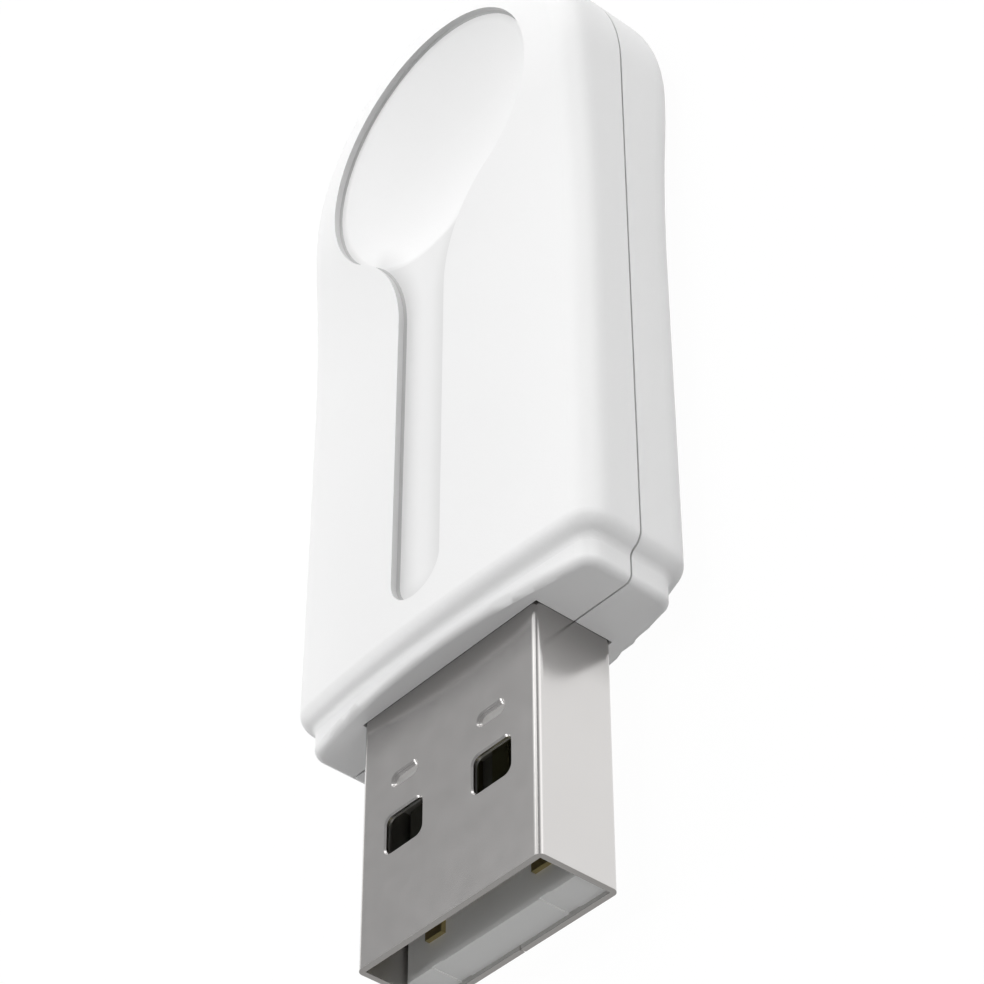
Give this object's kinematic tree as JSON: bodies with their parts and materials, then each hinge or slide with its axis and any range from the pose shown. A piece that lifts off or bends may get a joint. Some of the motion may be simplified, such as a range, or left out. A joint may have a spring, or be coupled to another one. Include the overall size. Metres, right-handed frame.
{
  "type": "plug-in wireless receiver",
  "caption": "Flat plug-in wireless receiver: white two-part housing with a slot and round thumb recess in the front, a stepped collar and a flat steel plug",
  "frame": {"origin": "middle of the footprint, on the surface the receiver lies on with its back down", "axes": "+X across the width, +Y along the length away from the plug, +Z out of the front with the thumb recess"},
  "size_m": [0.0208, 0.0576, 0.0087],
  "materials": {
    "housing": "satin",
    "plated_steel": "satin",
    "insulator": "satin",
    "contact_metal": "polished",
    "board": "satin",
    "package": "matte",
    "can": "satin",
    "ceramic": "matte",
    "capacitor_moulding": "matte",
    "capacitor_ceramic": "matte",
    "resistor_body": "matte",
    "inductor_body": "matte"
  },
  "bodies": {
    "root": {"front_cover": "housing", "rear_cover": "housing", "plug_shell": "plated_steel", "contact_carrier": "insulator", "contact_power": "contact_metal", "contact_data_minus": "contact_metal", "contact_data_plus": "contact_metal", "contact_ground": "contact_metal", "circuit_board": "board", "radio_chip": "package", "bridge_chip": "package", "memory_chip": "package", "voltage_regulator": "package", "surge_protector": "package", "clock_crystal": "can", "chip_antenna": "ceramic", "bulk_capacitor": "capacitor_moulding", "decoupling_capacitors": "capacitor_ceramic", "series_resistors": "resistor_body", "matching_inductors": "inductor_body"}
  },
  "joints": []
}
